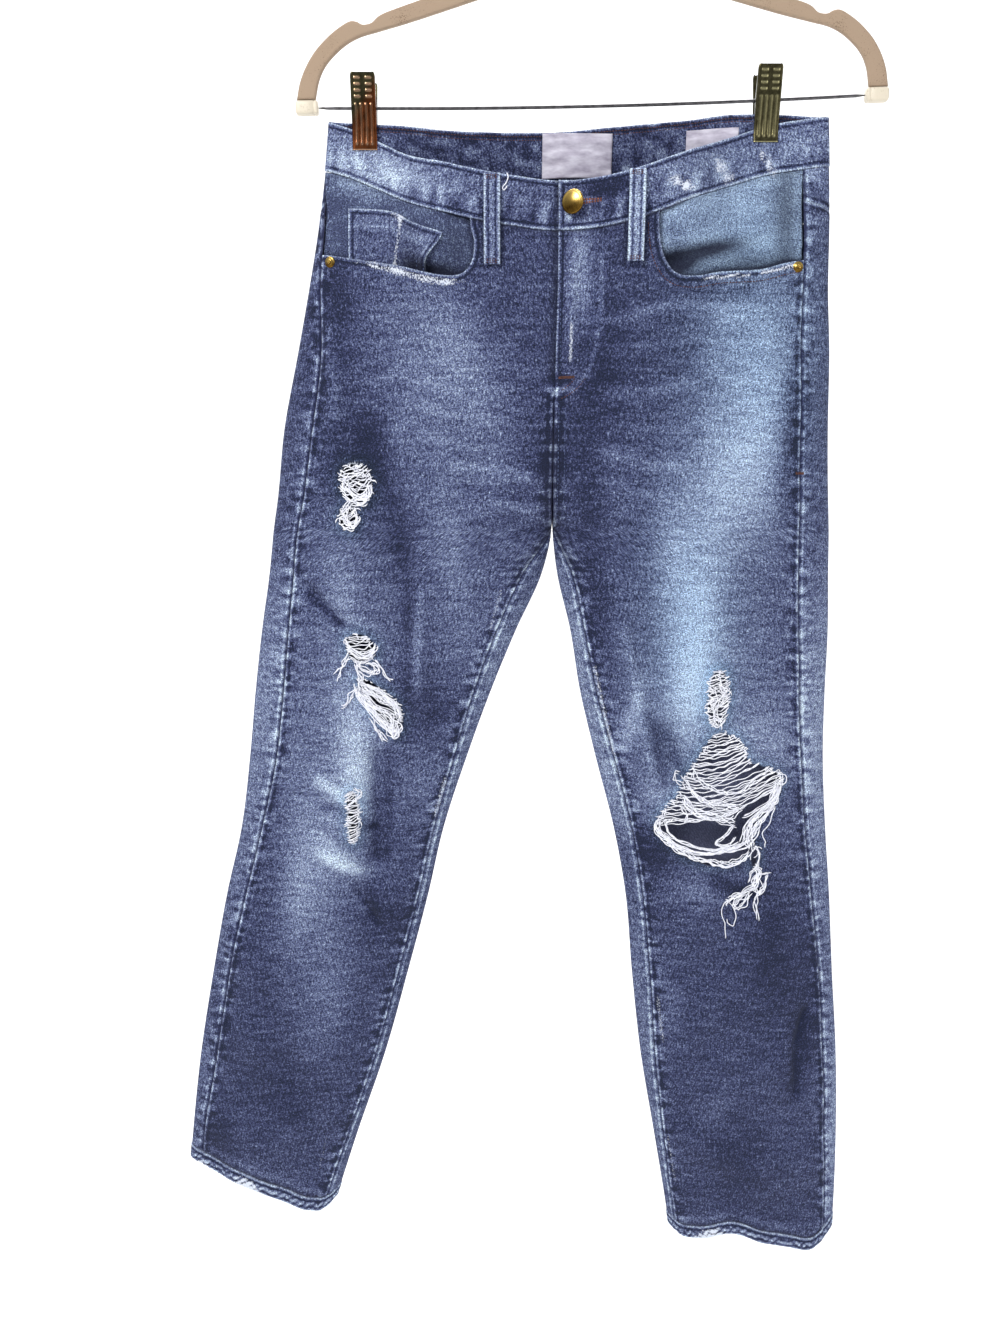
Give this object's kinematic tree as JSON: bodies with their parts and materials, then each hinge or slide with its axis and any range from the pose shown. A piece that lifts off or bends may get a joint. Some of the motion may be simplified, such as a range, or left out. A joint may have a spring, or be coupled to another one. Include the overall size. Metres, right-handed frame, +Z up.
{
  "type": "ripped jeans on a clip hanger",
  "caption": "Faded blue denim jeans with ripped knees and thighs, hanging by the waistband from a flocked clip hanger with a wire hook.",
  "frame": {"origin": "the seat of the hanger's hook, the inner top of its bend, where a rail bears on it", "axes": "+Z up, +X to the wearer's left, -Y towards the garment's front"},
  "size_m": [0.6089, 0.0634, 1.2258],
  "materials": {
    "denim_front": "faded blue twill, worn pale on the thighs and knees",
    "denim_back": "blue twill, less faded",
    "denim_band": "blue twill in two layers",
    "denim_pocket": "pale blue twill",
    "label_satin": "white satin ribbon, blank",
    "button_brass": "polished",
    "clip_brass": "dark bronze plating",
    "steel_wire": "drawn wire",
    "hook_chrome": "polished",
    "hanger_flock": "flocked beige",
    "cap_plastic": "moulded cream plastic"
  },
  "bodies": {
    "root": {"right_front": "denim_front", "left_front": "denim_front", "right_back": "denim_back", "left_back": "denim_back", "right_yoke": "denim_back", "left_yoke": "denim_back", "right_back_pocket": "denim_back", "left_back_pocket": "denim_back", "waistband": "denim_band", "belt_loop_1": "denim_band", "belt_loop_2": "denim_band", "belt_loop_3": "denim_band", "belt_loop_4": "denim_band", "belt_loop_5": "denim_band", "right_hem": "denim_band", "left_hem": "denim_band", "right_pocket_facing": "denim_pocket", "left_pocket_facing": "denim_pocket", "coin_pocket": "denim_pocket", "neck_label": "label_satin", "size_label": "label_satin", "waist_button": "button_brass", "right_rivet": "button_brass", "left_rivet": "button_brass", "right_clip_front_jaw": "clip_brass", "right_clip_back_jaw": "clip_brass", "left_clip_front_jaw": "clip_brass", "left_clip_back_jaw": "clip_brass", "hanger_bar": "steel_wire", "right_clip_spring": "steel_wire", "left_clip_spring": "steel_wire", "hanger_hook": "hook_chrome", "hanger_arms": "hanger_flock", "right_bar_cap": "cap_plastic", "left_bar_cap": "cap_plastic"}
  },
  "joints": []
}
